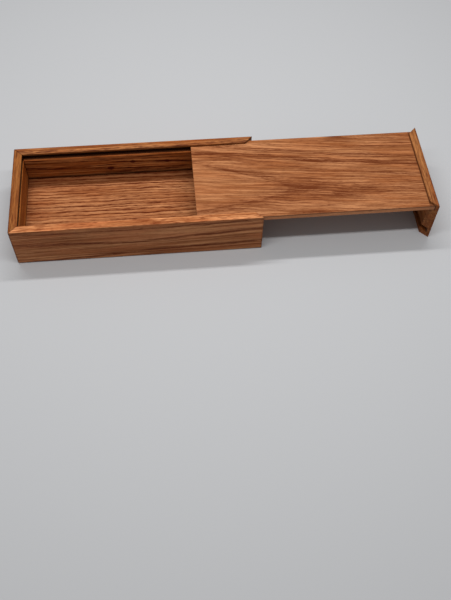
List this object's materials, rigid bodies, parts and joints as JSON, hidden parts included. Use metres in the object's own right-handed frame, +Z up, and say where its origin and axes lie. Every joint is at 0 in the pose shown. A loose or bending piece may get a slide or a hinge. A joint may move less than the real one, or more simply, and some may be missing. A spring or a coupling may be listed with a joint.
{
  "type": "sliding-lid box",
  "caption": "Low oblong oak box with mitred walls. Its lid panel slides out along grooves under the rim and carries an end wall with it.",
  "frame": {"origin": "on the table, under the middle of the box and its drawn-out lid", "axes": "+X is the way the lid slides out, along the longest extent; +Y is the far long side; +Z is up, along the shortest extent"},
  "size_m": [0.4098, 0.107, 0.0476],
  "materials": {
    "oak_walls": "satin oiled red oak, straight grain with dark open pores",
    "oak_lid": "satin oiled red oak, flat-sawn figure with dark open pores",
    "oak_bottom": "satin oiled red oak, wavy straight grain with dark open pores"
  },
  "bodies": {
    "box": {"front_wall": "oak_walls", "back_wall": "oak_walls", "end_wall": "oak_walls", "bottom_panel": "oak_bottom"},
    "lid": {"lid_panel": "oak_lid", "lid_end_wall": "oak_walls"}
  },
  "joints": [
    {"name": "lid_slide", "type": "slide", "parent": "box", "child": "lid", "axis": [1, 0, 0], "range_m": [-0.1696, 0.068]}
  ]
}
